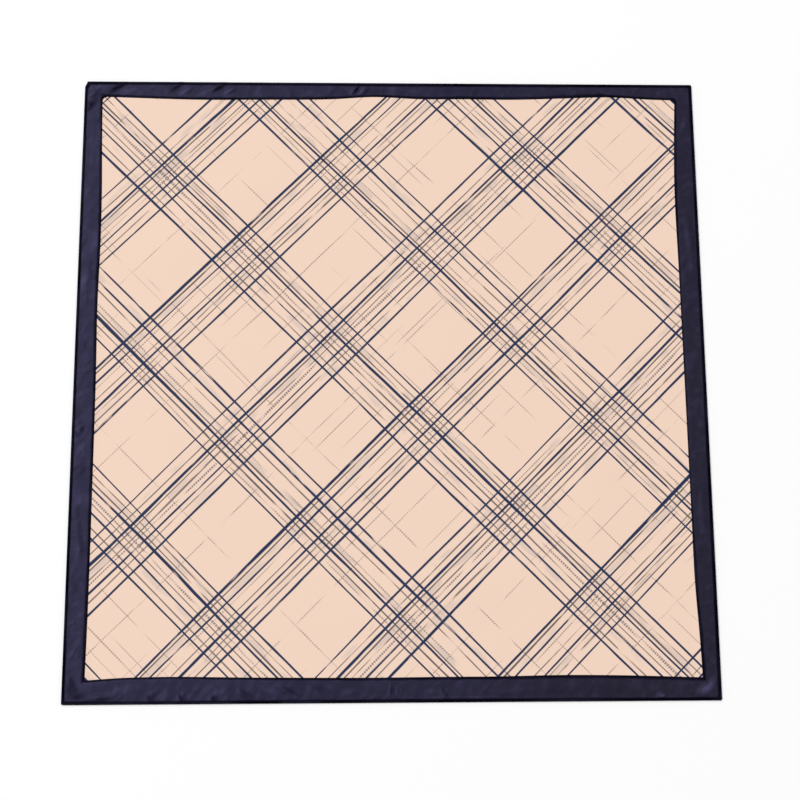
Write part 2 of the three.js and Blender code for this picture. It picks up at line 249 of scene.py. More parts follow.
class ScarfCloth(PropertyGroup):
    """Sizes of the cloth."""

    silk_thickness: length_property("Silk thickness", 0.3, "Thickness of the printed silk")
    satin_thickness: length_property("Satin thickness", 0.35, "Thickness of one satin layer")
    band_height: length_property("Band height", 1.55, "Height of the doubled band")
    hem_height: length_property("Hem height", 3.0, "Diameter of the rolled hem")
    section_step: length_property("Section step", 1.6, "Spacing of the sections of a strip")
    panel_step: length_property("Panel step", 4.3, "Spacing of the panel's grid")
    thread_thickness: length_property("Thread thickness", 0.3, "Thickness of the sewing thread")
    hem_stitch_spacing: length_property("Hem stitch spacing", 5.0, "Spacing of the hem's stitches")
    seam_stitch_spacing: length_property("Seam stitch spacing", 3.4, "Spacing of the seam's stitches")
    pucker_height: length_property("Pucker height", 0.5, "Height of the small puckers")
    pucker_seed: IntProperty(name="Pucker seed", description="Seed of the small puckers", default=7)


class ScarfPrint(PropertyGroup):
    """The printed check."""

    rising_pitch: length_property("Rising pitch", 352, "Repeat of the rising lines")
    falling_pitch: length_property("Falling pitch", 396, "Repeat of the falling lines")
    rising_start: length_property("Rising start", 40, "Where a repeat of the rising lines starts")
    falling_start: length_property("Falling start", -25, "Where a repeat of the falling lines starts")


def srgb(hex_value):
    """A colour written as sRGB hex, as linear red, green and blue."""
    parts = [int(hex_value[i : i + 2], 16) / 255 for i in (1, 3, 5)]
    return tuple(c / 12.92 if c <= 0.04045 else ((c + 0.055) / 1.055) ** 2.4 for c in parts)


def colour_property(name, hex_value, description):
    return FloatVectorProperty(
        name=name, description=description, default=srgb(hex_value), subtype="COLOR", min=0, max=1
    )


class ScarfColours(PropertyGroup):
    """Colours of the cloth and print, and the painted shade and highlight of the satin."""

    ground: colour_property("Ground", "#E5C9B6", "Peach ground of the printed silk")
    ink: colour_property("Ink", "#0C2549", "Navy of the strong printed lines")
    thin_ink: colour_property("Thin ink", "#252430", "Plum navy of the fine printed lines")
    shade: colour_property("Shade", "#9B999F", "Grey-brown of the soft printed shades")
    satin: colour_property("Satin", "#201E30", "Navy of the satin band")
    # Painted shade of the satin towards the right and the near side, away from the light.
    satin_painted_far_shade: colour_property("Far satin", "#201E2A", "Greyer navy of the satin away from the light")
    # The next two colours are painted highlight and painted shade on the satin's folds and creases.
    satin_painted_highlight: colour_property("Satin light", "#454162", "Navy of the satin that catches the light")
    satin_painted_hollow_shade: colour_property("Satin hollow", "#05030D", "Navy of the satin in its hollows")
    # Near-black navy of the edges and thread, also used as painted shade on the rolled hem and turned edge.
    deep_navy_and_painted_shade: colour_property("Satin edge", "#020008", "Near-black navy of rolled and turned edges")
    satin_shine: colour_property("Satin shine", "#A7A4DA", "Blue cast of the satin's shine")
    floor: colour_property("Floor", "#F1F1F1", "Pale floor")


class ScarfStage(PropertyGroup):
    """Camera and light."""

    lens: FloatProperty(name="Lens", description="Focal length in millimetres", default=64.04)
    azimuth: angle_property("Azimuth", -8.867, "Camera direction")
    elevation: angle_property("Elevation", 78.46, "Camera height angle")
    roll: angle_property("Roll", 8.644, "Camera roll")
    distance: length_property("Distance", 2.24489 * SIDE / MM, "Camera distance")
    target: FloatVectorProperty(
        name="Target",
        description="What the camera looks at",
        default=(0.0125 * SIDE, -0.03282 * SIDE, 0.0),
    )
    key_power: FloatProperty(name="Key light", description="Power of the softbox", default=6000)
    world_strength: FloatProperty(name="Even light", description="Strength of the even light", default=0.47)


# Plan of the seam and hem, in millimetres


def neighbour(side, steps):
    return SIDE_ORDER[(SIDE_ORDER.index(side) + steps) % len(SIDE_ORDER)]


def table_width(side, places):
    """Width from the table, along a smooth curve through its rows."""
    at, width = np.array(BAND_WIDTHS[side], dtype=float).T
    slope = np.gradient(width, at)
    places = np.clip(places, at[0], at[-1])
    k = np.clip(np.searchsorted(at, places) - 1, 0, len(at) - 2)
    span = at[k + 1] - at[k]
    t = (places - at[k]) / span
    start = width[k] * (1 + 2 * t) * (1 - t) ** 2 + slope[k] * span * t * (1 - t) ** 2
    end = width[k + 1] * t**2 * (3 - 2 * t) + slope[k + 1] * span * t**2 * (t - 1)
    return start + end


def corner_at(side, sign):
    """Sizes of the corner at one end of a side: sign -1 is its start and +1 its end."""
    corner = START_CORNERS[side if sign < 0 else neighbour(side, 1)]
    beside = table_width(neighbour(side, sign), np.array([-sign * HALF]))[0]
    sharp = HALF - beside
    return {
        "radius": corner["seam_radius"],
        "sharp": sharp,
        "seam_end": sharp - corner["seam_radius"] * (1 - math.sqrt(0.5)),
        "hem_end": HALF - (corner["after"] if sign < 0 else 0),
        "hem_turn": 0 if sign < 0 else corner["before"],
        "drawn_in": 0 if sign < 0 else corner["after"],
    }


# Length at each end of a side over which its sections fan round towards the mitre.
CORNER_ZONE = 70


def by_end(side, stations, value):
    """A corner's value for each station: the start's before the middle, the end's after it."""
    return np.where(stations < 0, corner_at(side, -1)[value], corner_at(side, 1)[value])


def stretch_to_end(side, stations, end):
    """Stations, stretched in the corner zone so that the last lies where hem or seam ends."""
    straight = HALF - CORNER_ZONE
    past = np.abs(stations) - straight
    stretched = straight + past * (by_end(side, stations, end) - straight) / CORNER_ZONE
    return np.where(past <= 0, stations, np.sign(stations) * stretched)


def plan_points(side, places, outward):
    along = np.array(SIDES[side]["along"], dtype=float)
    out = np.array(SIDES[side]["outward"], dtype=float)
    return np.multiply.outer(places, along) + np.multiply.outer(outward, out)


def seam_line(side, stations):
    places = stretch_to_end(side, stations, "seam_end")
    radius = by_end(side, stations, "radius")
    reach = radius - np.clip(by_end(side, stations, "sharp") - np.abs(places), 0, radius)
    width = table_width(side, places) + radius - np.sqrt(radius**2 - reach**2)
    return plan_points(side, places, HALF - width)


def hem_line(side, stations):
    places = stretch_to_end(side, stations, "hem_end")
    turn = np.maximum(by_end(side, stations, "hem_turn"), 1e-6)
    share = np.clip((np.abs(places) - (HALF - turn)) / turn, 0, 1)
    return plan_points(side, places, HALF - share * by_end(side, stations, "drawn_in"))


def band_lines(side, stations):
    """Hem line and seam line at each station of a side, and the width between them."""
    hem, seam = hem_line(side, stations), seam_line(side, stations)
    return hem, seam, (hem - seam) @ np.array(SIDES[side]["outward"], dtype=float)


# Heights, in millimetres


def rounded_folds(folds, x, y):
    """Sum of folds: each is rounded across its width, runs out at both ends and ends in a size."""
    total = np.zeros_like(x)
    for middle_x, middle_y, length, width, degrees, size in folds:
        turn = math.radians(degrees)
        dx, dy = x - middle_x, y - middle_y
        along = dx * math.cos(turn) + dy * math.sin(turn)
        across = dy * math.cos(turn) - dx * math.sin(turn)
        share = np.hypot(along / (length / 2), across / (width / 2))
        total += size * np.cos(np.minimum(share, 1) * math.pi / 2) ** 2
    return total


def small_puckers(settings):
    """Small puckers that the rolled hem pulls into the band, mostly leaning one way."""
    rng = np.random.default_rng(settings.pucker_seed)
    rows = []
    for side in SIDE_ORDER:
        reach = HALF - 24
        for place in np.linspace(-reach, reach, PUCKER_COUNTS[side]):
            along = place + rng.uniform(-6, 6)
            outward = HALF - rng.uniform(5, 20)
            at = plan_points(side, np.array([along]), np.array([outward]))[0]
            length, width, turn = rng.uniform(14, 34), rng.uniform(7, 13), rng.normal(40, 22)
            height = settings.pucker_height / MM * rng.uniform(0.2, 1.0)
            rows.append((*at, length, width, turn, height))
    return rows


def spaced(low, high, step, fine_step, fine_zone):
    """Places from low to high, closer together near both ends."""
    places = [low]
    while places[-1] < high:
        edge = min(places[-1] - low, high - places[-1])
        places.append(places[-1] + fine_step + (step - fine_step) * min(1, max(edge, 0) / fine_zone))
    places = np.array(places)
    return low + (places - low) * (high - low) / (places[-1] - low)


# Mesh helpers


def add_object(name, data):
    piece = bpy.data.objects.new(name, data)
    bpy.context.scene.collection.objects.link(piece)
    return piece


def new_object(name, points_mm, faces, *materials):
    mesh = bpy.data.meshes.new(name)
    mesh.from_pydata([tuple(p) for p in np.asarray(points_mm) * MM], [], faces)
    for material in materials:
        mesh.materials.append(material)
    mesh.validate()
    mesh.shade_smooth()
    return add_object(name, mesh)


def set_uv(mesh, name, per_vertex):
    layer = mesh.uv_layers.new(name=name)
    index = np.empty(len(mesh.loops), dtype=np.int32)
    mesh.loops.foreach_get("vertex_index", index)
    layer.data.foreach_set("uv", per_vertex[index].astype(np.float32).ravel())


def grid_faces(rows, columns, closed_rows=False, start=0):
    """Quads of a grid of points, row by row; closed_rows joins the last row to the first."""
    last = rows if closed_rows else rows - 1
    faces = []
    for r in range(last):
        a, b = start + r * columns, start + (r + 1) % rows * columns
        faces += [(a + c, a + c + 1, b + c + 1, b + c) for c in range(columns - 1)]
    return faces


# Materials


MATH = "ShaderNodeMath"
COMBINE = "ShaderNodeCombineXYZ"
SEPARATE = "ShaderNodeSeparateXYZ"


def set_inputs(node, inputs):
    """Links inputs of a node, given by name or number, to other nodes, or sets their values."""
    for key, value in inputs.items():
        if isinstance(value, bpy.types.NodeSocket):
            node.id_data.links.new(value, node.inputs[key])
        else:
            node.inputs[key].default_value = value


def add_node(tree, kind, *values, inputs=None, output=0, **settings):
    """Adds a node with its settings and links, and returns one of its outputs. What goes into
    it is given in the order of its inputs, or by their name or number."""
    node = tree.nodes.new(kind)
    for key, value in settings.items():
        setattr(node, key, value)
    set_inputs(node, {**dict(enumerate(values)), **(inputs or {})})
    return node.outputs[output]


def new_material(name):
    """A material, the function that adds a node to it, and its shader."""
    material = bpy.data.materials.new(name)
    material.use_nodes = True
    tree = material.node_tree
    return material, partial(add_node, tree), tree.nodes["Principled BSDF"]


def four(colour):
    return (*colour[:3], 1.0)


def layered(add, ground, layers):
    """A ground colour with others laid over it in turn, each as far as its cover says."""
    colour = four(ground)
    for cover, tint in layers:
        mixed = {0: cover, 6: colour, 7: four(tint)}
        colour = add("ShaderNodeMix", inputs=mixed, output=2, data_type="RGBA")
    return colour


def stretched_noise(add, place, degrees, length, spacing, detail, shift=0.0):
    """Noise drawn out along a direction turned by degrees, from millimetre places."""
    turn = math.radians(degrees)
    size = (length, spacing, spacing)
    turned = add("ShaderNodeMapping", place, (shift, 0, 0), (0, 0, turn), size, vector_type="TEXTURE")
    return add("ShaderNodeTexNoise", inputs={0: turned, 2: 1.0, 3: detail})


def millimetre_places(add):
    place = add("ShaderNodeTexCoord", output="Object")
    return add("ShaderNodeVectorMath", inputs={0: place, 3: 1 / MM}, operation="SCALE")


def sloped(add, place, middle, across, up=0.0):
    """A value in the middle of the scarf that changes by so much across it and so much up it."""
    x = add(SEPARATE, place)
    over = add(MATH, x, across / SIDE * MM, middle, operation="MULTIPLY_ADD")
    return add(MATH, x.node.outputs[1], up / SIDE * MM, over, operation="MULTIPLY_ADD")


def distance_from(add, place, middle):
    offset = add(MATH, place, middle, operation="SUBTRACT")
    return add(MATH, offset, operation="ABSOLUTE")


def line_mask(add, place, along, wear, line, softness):
    """How strongly one printed line covers each point, worn thin and broken by noise."""
    gap = distance_from(add, place, line["place"])
    swell = 0.5 * line["width"] / softness
    reach = add(MATH, wear, swell, 0.5 * swell + 0.5, operation="MULTIPLY_ADD")
    body = add(MATH, gap, -1 / softness, reach, operation="MULTIPLY_ADD", use_clamp=True)
    sharpness = 8.0
    broken_below = 0.2 + 0.5 * line["worn"]
    level = -sharpness * broken_below
    kept = add(MATH, wear, sharpness, level, operation="MULTIPLY_ADD", use_clamp=True)
    mask = add(MATH, body, kept, operation="MULTIPLY")
    if "dots" in line:
        dots = dot_wave(add, along, line["dots"], line["place"], 0.7)
        mask = add(MATH, mask, dots, operation="MULTIPLY")
    return mask


def dot_wave(add, along, length, shift, depth):
    """Wave along a line that breaks it into dots, as deep as asked and for the most part inked."""
    middle = 0.8
    turn = add(MATH, along, 2 * math.pi / length, shift, operation="MULTIPLY_ADD")
    wave = add(MATH, turn, operation="SINE")
    return add(MATH, wave, depth, middle, operation="MULTIPLY_ADD", use_clamp=True)


def printed_lines(add, place, along, wear, rows, softness):
    """Ink cover of a set of lines, which darkens where lines meet."""
    bare = 1.0
    for row in rows:
        line = dict(zip(LINE_COLUMNS, row))
        mask = line_mask(add, place, along, wear, line, softness)
        left = add(MATH, mask, -line["dark"], 1.0, operation="MULTIPLY_ADD")
        bare = add(MATH, bare, left, operation="MULTIPLY")
    return add(MATH, 1.0, bare, operation="SUBTRACT")


def drawn_noise(add, along, across, length, spacing, detail, seed):
    """Noise drawn out along the printed lines, so that each changes slowly on its way."""
    x = add(MATH, along, length, operation="DIVIDE")
    y = add(MATH, across, spacing, operation="DIVIDE")
    at = add(COMBINE, x, y, seed)
    return add("ShaderNodeTexNoise", inputs={0: at, 2: 1.0, 3: detail})


def check_direction(add, across, along, pitch, start, lines, shades, seed):
    """Covers of one direction of the check: its soft shades, fine lines and strong lines."""
    drift = drawn_noise(add, along, across, 240.0, 10.0, 0.0, seed + 5.3)
    from_start = add(MATH, across, start + DRIFT / 2, operation="SUBTRACT")
    drawn = add(MATH, drift, DRIFT, from_start, operation="MULTIPLY_ADD")
    place = add(MATH, drawn, pitch, operation="FLOORED_MODULO")
    wear = drawn_noise(add, along, across, 46.0, 5.0, 2.0, seed)
    shade_wear = drawn_noise(add, along, across, 38.0, 16.0, 1.0, seed + 9.1)
    strong = [row for row in lines if row[1] >= STRONG_WIDTH]
    fine = [row for row in lines if row[1] < STRONG_WIDTH]
    kinds = {
        "shade": (shade_wear, shades, SHADE_SOFTNESS),
        "fine": (wear, fine, LINE_SOFTNESS),
        "strong": (wear, strong, LINE_SOFTNESS),
    }
    return {name: printed_lines(add, place, along, *kind) for name, kind in kinds.items()}


def stray_strokes(add, across, along, seed, lane, length):
    """Short thin strokes with tapered ends, scattered over the clear ground."""
    lane_at = add(MATH, across, lane, operation="DIVIDE")
    lane_number = add(MATH, lane_at, operation="FLOOR")
    unshifted = add(MATH, along, length, operation="DIVIDE")
    lane_shift = 0.37
    stroke_at = add(MATH, lane_number, lane_shift, unshifted, operation="MULTIPLY_ADD")
    stroke_number = add(MATH, stroke_at, operation="FLOOR")
    numbers = add(COMBINE, lane_number, stroke_number, seed)
    chance = add("ShaderNodeTexWhiteNoise", numbers, noise_dimensions="3D")
    drawn = add(MATH, chance, 1 - STRAY_SHARE, operation="GREATER_THAN")
    strength = add(SEPARATE, chance.node.outputs["Color"], output=1)
    palest, range_of_dark = 0.32, 0.55
    dark = add(MATH, strength, range_of_dark, palest, operation="MULTIPLY_ADD")
    end = from_middle(add, stroke_at, -4.0, 2.0)
    body = from_middle(add, lane_at, -lane / LINE_SOFTNESS, 1.4)
    cover = dot_wave(add, along, DOTS, 0.0, 0.5)
    for share in (drawn, dark, end, body):
        cover = add(MATH, cover, share, operation="MULTIPLY")
    return cover


def from_middle(add, place, slope, middle):
    """A value that falls to both sides from the middle of each whole step of a place."""
    gap = distance_from(add, add(MATH, place, operation="FRACT"), 0.5)
    return add(MATH, gap, slope, middle, operation="MULTIPLY_ADD", use_clamp=True)


def printed_silk(context):
    """Printed silk twill: a matte peach ground whose inks sit in the cloth, with a soft sheen."""
    colours, check = context.scene.scarf_colours, context.scene.scarf_print
    material, add, shader = new_material("printed_silk_twill")
    cut = add("ShaderNodeUVMap", uv_map="Cut")
    place = add("ShaderNodeVectorMath", inputs={0: cut, 3: SIDE / MM}, operation="SCALE")
    x = add(SEPARATE, place)
    y = x.node.outputs[1]
    diagonal = math.sqrt(0.5)
    x_and_y = add(MATH, x, y, operation="ADD")
    x_less_y = add(MATH, x, y, operation="SUBTRACT")
    up = add(MATH, x_and_y, diagonal, operation="MULTIPLY")
    down = add(MATH, x_less_y, diagonal, operation="MULTIPLY")
    rising_from = check.rising_pitch / MM, check.rising_start / MM
    falling_from = check.falling_pitch / MM, check.falling_start / MM
    rising = check_direction(add, down, up, *rising_from, RISING_LINES, RISING_SHADES, 2.0)
    falling = check_direction(add, up, down, *falling_from, FALLING_LINES, FALLING_SHADES, 31.0)
    rising_strays = stray_strokes(add, down, up, seed=4.0, lane=13.0, length=110.0)
    falling_strays = stray_strokes(add, up, down, seed=9.0, lane=17.0, length=90.0)
    strays = add(MATH, rising_strays, falling_strays, operation="MAXIMUM")
    covers = {name: add(MATH, rising[name], falling[name], operation="MAXIMUM") for name in rising}
    fine = add(MATH, covers["fine"], strays, operation="MAXIMUM")
    inks = ((covers["shade"], colours.shade), (fine, colours.thin_ink), (covers["strong"], colours.ink))
    twill = stretched_noise(add, place, 27, length=7.0, spacing=0.9, detail=1.0)
    finish = {
        "Base Color": layered(add, colours.ground, inks),
        "Normal": add("ShaderNodeBump", inputs={"Distance": 0.03 * MM, "Height": twill}),
        "Roughness": 0.62,
        "Specular IOR Level": 0.15,
        "Sheen Weight": 0.05,
        "Sheen Roughness": 0.5,
    }
    set_inputs(shader, finish)
    return material


def navy_satin(context):
    """Navy satin: long floats that give a deep colour and a soft, broad shine on each fold, partly real and
    partly painted highlight, with painted shade in its creases.
    """
    colours = context.scene.scarf_colours
    material, add, shader = new_material("navy_satin")
    place = millimetre_places(add)
    rumple = stretched_noise(add, place, 62, length=34.0, spacing=15.0, detail=2.0)
    floats = stretched_noise(add, place, 0, length=2.2, spacing=0.7, detail=1.0, shift=40.0)
    mottled = stretched_noise(add, place, 0, length=10.0, spacing=10.0, detail=2.0, shift=70.0)
    streak_shade_and_shine = add("ShaderNodeAttribute", output="Fac", attribute_name="painted_shade_and_shine")
    # Creases are deeper on the left, and painted shade makes the colour greyer to the right and on the near
    # side, away from the light.
    creased = sloped(add, place, 0.7, across=-0.6)
    far = sloped(add, place, 0.1, across=1.8, up=-0.5)
    rumple_level = add(MATH, rumple, 0.5, operation="SUBTRACT")
    crease = add(MATH, rumple_level, creased, operation="MULTIPLY")
    mottled_level = add(MATH, mottled, 0.5, operation="SUBTRACT")
    blotch = add(MATH, mottled_level, 0.45, streak_shade_and_shine, operation="MULTIPLY_ADD")
    painted_shade_and_shine = add(MATH, crease, 1.1, blotch, operation="MULTIPLY_ADD")
    # Creases, mottling and streaks become painted shade (hollow colour) and painted highlight (light
    # colour) here.
    shade = add(MATH, painted_shade_and_shine, -0.95, operation="MULTIPLY", use_clamp=True)
    shine = add(MATH, painted_shade_and_shine, 1.0, operation="MULTIPLY", use_clamp=True)
    tints = ((far, colours.satin_painted_far_shade), (shade, colours.satin_painted_hollow_shade), (shine, colours.satin_painted_highlight))
    float_height, crease_height = 0.02, 0.34
    low_floats = add(MATH, floats, float_height, operation="MULTIPLY")
    height = add(MATH, crease, crease_height, low_floats, operation="MULTIPLY_ADD")
    finish = {
        "Base Color": layered(add, colours.satin, tints),
        "Roughness": add(MATH, shade, 0.2, 0.44, operation="MULTIPLY_ADD"),
        "Normal": add("ShaderNodeBump", inputs={"Distance": MM, "Height": height}),
        "Specular IOR Level": 0.24,
        "Specular Tint": four(colours.satin_shine),
    }
    set_inputs(shader, finish)
    return material


def rolled_edge_painted_shade(context):
    """Rolled hem and turned seam edge: near-black navy, partly the tightly wound cloth's own deep colour
    and partly painted shade of the roll and the turned edge.
    """
    colours = context.scene.scarf_colours
    material, add, shader = new_material("navy_rolled_edge_painted_shade")
    place = millimetre_places(add)
    winding = stretched_noise(add, place, 45, length=3.0, spacing=1.0, detail=2.0)
    worn = stretched_noise(add, place, 0, length=70.0, spacing=70.0, detail=1.0, shift=20.0)
    cut = add("ShaderNodeUVMap", uv_map="Cut")
    from_hem = add(SEPARATE, cut, output=1)
    # Painted light pales the hem towards the upper left, and fades out before the seam's turned edge.
    fade = -SIDE / MM / 10
    on_hem = add(MATH, from_hem, fade, 1.0, operation="MULTIPLY_ADD", use_clamp=True)
    upper_left = sloped(add, place, 0.2, across=-0.3, up=0.35)
    lit = add(MATH, on_hem, upper_left, -1.22, operation="MULTIPLY_ADD")
    wound = add(MATH, winding, 0.5, lit, operation="MULTIPLY_ADD")
    paler = add(MATH, worn, 2.2, wound, operation="MULTIPLY_ADD", use_clamp=True)
    finish = {
        "Base Color": layered(add, colours.deep_navy_and_painted_shade, ((paler, colours.satin),)),
        "Normal": add("ShaderNodeBump", inputs={"Distance": 0.25 * MM, "Height": winding}),
        "Roughness": 0.7,
        "Specular IOR Level": 0.07,
        "Specular Tint": four(colours.satin_shine),
    }
    set_inputs(shader, finish)
    return material


def navy_thread(context):
    """Thread of the hand stitches: twisted, so each has a fine sheen, and near the satin's colour."""
    colours = context.scene.scarf_colours
    material, add, shader = new_material("navy_thread")
    twist = stretched_noise(add, millimetre_places(add), 35, length=0.5, spacing=0.2, detail=1.0)
    colour = layered(add, colours.deep_navy_and_painted_shade, ((twist, colours.satin),))
    set_inputs(shader, {"Base Color": colour, "Roughness": 0.5, "Specular IOR Level": 0.25})
    return material


# Pieces


class SCARF_OT_centre_panel(Operator):
    """Makes the printed silk panel, a thin sheet cut along the seam of the band."""

    bl_idname = "scarf.centre_panel"
    bl_label = "Centre panel"

    def execute(self, context):
        cloth = context.scene.scarf_cloth
        finest_step, edge_zone = 1.2, 24
        stations = spaced(-HALF, HALF, cloth.panel_step / MM, finest_step, edge_zone)
        n = len(stations)
        share = (stations + HALF) / (2 * HALF)
        tucked_under, mean_band = 1.2, 28
        under_band = 1 + tucked_under / (HALF - mean_band)
        far = seam_line("top", stations) * under_band
        near = seam_line("bottom", -stations) * under_band
        left = seam_line("left", stations) * under_band
        right = seam_line("right", -stations) * under_band
        u, v = share[None, :, None], share[:, None, None]
        plan = (1 - v) * near[None] + v * far[None] + (1 - u) * left[:, None] + u * right[:, None]
        plan -= (1 - v) * ((1 - u) * near[0] + u * near[-1]) + v * ((1 - u) * far[0] + u * far[-1])
        x, y = plan[..., 0], plan[..., 1]
        across, up = u[..., 0], v[..., 0]
        edge = np.minimum(np.minimum(across, 1 - across), np.minimum(up, 1 - up)) * 2 * HALF
        edge_rise, middle_rise, eased_over = 0.42, 0.10, 14
        rise = edge_rise - (edge_rise - middle_rise) * np.clip(edge / eased_over, 0, 1) ** 0.7
        under = rise + rounded_folds(CLOTH_SWELLS, x, y)
        points_under = np.dstack([x, y, under]).reshape(-1, 3)
        points_over = np.dstack([x, y, under + cloth.silk_thickness / MM]).reshape(-1, 3)
        points = np.vstack([points_over, points_under])
        over_faces = grid_faces(n, n)
        under_faces = [tuple(reversed([i + n * n for i in face])) for face in over_faces]
        rim = [
            *range(n - 1),
            *range(n - 1, n * n - 1, n),
            *range(n * n - 1, n * n - n, -1),
            *range(n * n - n, 0, -n),
        ]
        rim_faces = [(b, a, a + n * n, b + n * n) for a, b in zip(rim, rim[1:] + rim[:1])]
        faces = over_faces + under_faces + rim_faces
        piece = new_object("centre_panel_silk", points, faces, printed_silk(context))
        set_uv(piece.data, "Cut", points[:, :2] / (2 * HALF) + 0.5)
        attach(piece, ROOT)
        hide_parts("centre_panel")
        return {"FINISHED"}


# Widths at the hem and at the seam over which the band keeps its section, in millimetres.
HEM_ZONE = 5.6
SEAM_ZONE = 6.0

# How deep the painted shade beside the hem and the seam is, where it starts and how far it fades.
EDGE_SHADE = 1.3
EDGE_SHADE_START = -0.5
EDGE_SHADE_REACH = 2.0

# How far before the seam the raised folds and the soft creases run out, how high a soft crease
# stands, and the most shade or shine that counts for that.
FOLD_FADE = 7
STREAK_FADE = 4
STREAK_HEIGHT = 0.55
STREAK_LIMIT = 1.2


def band_section(cloth):
    """Closed section of the doubled band: (from hem, share of the flat, height, edge).

    The edge is 1 on the outside of the rolled hem, 2 on the turned edge at the seam, else 0."""
    top = cloth.band_height / MM
    layer = cloth.satin_thickness / MM
    roll = cloth.hem_height / MM / 2
    floor = 0.05
    rows = []

    def near_seam(from_seam, height, edge=0):
        rows.append((HEM_ZONE + SEAM_ZONE - from_seam, 1.0, height, edge))

    def near_hem(from_hem, height, edge=0):
        rows.append((from_hem, 0.0, height, edge))

    def flat(height, shares):
        rows.extend((HEM_ZONE, share, height, 0) for share in shares)

    for from_seam, drop in (
        (-0.1, 0.69), (0.05, 0.50), (0.4, 0.29), (0.8, 0.17), (1.2, 0.12), (1.6, 0.10), (2.0, 0.11),
        (2.4, 0.14), (2.8, 0.15), (3.2, 0.13), (3.6, 0.10), (4.0, 0.06), (4.5, 0.03),
    ):
        near_seam(from_seam, top - drop, 2)
    flat(top, np.linspace(1, 0, 15))
    for from_hem, drop in ((5.0, 0.01), (4.6, 0.03), (4.2, 0.07), (3.8, 0.16), (3.4, 0.42)):
        near_hem(from_hem, top - drop, 1)
    for angle in (-22, 0, 22, 34, 45, 56, 68, 90, 113, 135, 158, 180, 208, 236, 262):
        turn = math.radians(angle)
        near_hem(roll + 0.1 + roll * math.cos(turn), roll + floor + roll * math.sin(turn), 1)
    near_hem(3.6, floor)
    flat(floor, np.linspace(0, 1, 8))
    near_seam(0.8, floor)
    near_seam(-0.1, 0.14, 2)
    near_seam(-0.1, 0.32, 2)
    near_seam(0.8, floor + layer)
    flat(floor + layer, np.linspace(1, 0, 8))
    near_hem(4.4, 0.8)
    flat(top - layer, np.linspace(0, 1, 15))
    near_seam(1.4, 0.98)
    near_seam(0.4, 0.78)
    return np.array(rows)


def line_width(rows, places, rng, spread):
    """Width of a dark edge line from its table, made uneven as hand work is."""
    knots = np.linspace(-HALF, HALF, 100)
    at, width = np.array(rows, dtype=float).T
    uneven = rng.uniform(-spread, spread, len(knots))
    return np.interp(places, at, width) + np.interp(places, knots, uneven)


def rolled_faces(side, stations, section, inward, width):
    """Which faces of a strip lie on its rolled hem or on its turned edge at the seam."""
    from_hem = (inward + np.roll(inward, -1, axis=0))[:, :-1] / 2
    from_seam = width[:-1] - from_hem
    edge = np.minimum(section[:, 3], np.roll(section[:, 3], -1))[:, None]
    at, seam_width = np.array(SEAM_LINES[side], dtype=float).T
    inset, widest_fold, widest_hem = 0.5, 2.6, 3.4
    fold = np.minimum(np.interp(stations[:-1], at, seam_width) - inset, widest_fold)
    return ((edge == 1) & (from_hem < widest_hem)) | ((edge == 2) & (from_seam < fold))


def smooth_step(share):
    share = np.clip(share, 0, 1)
    return share * share * (3 - 2 * share)


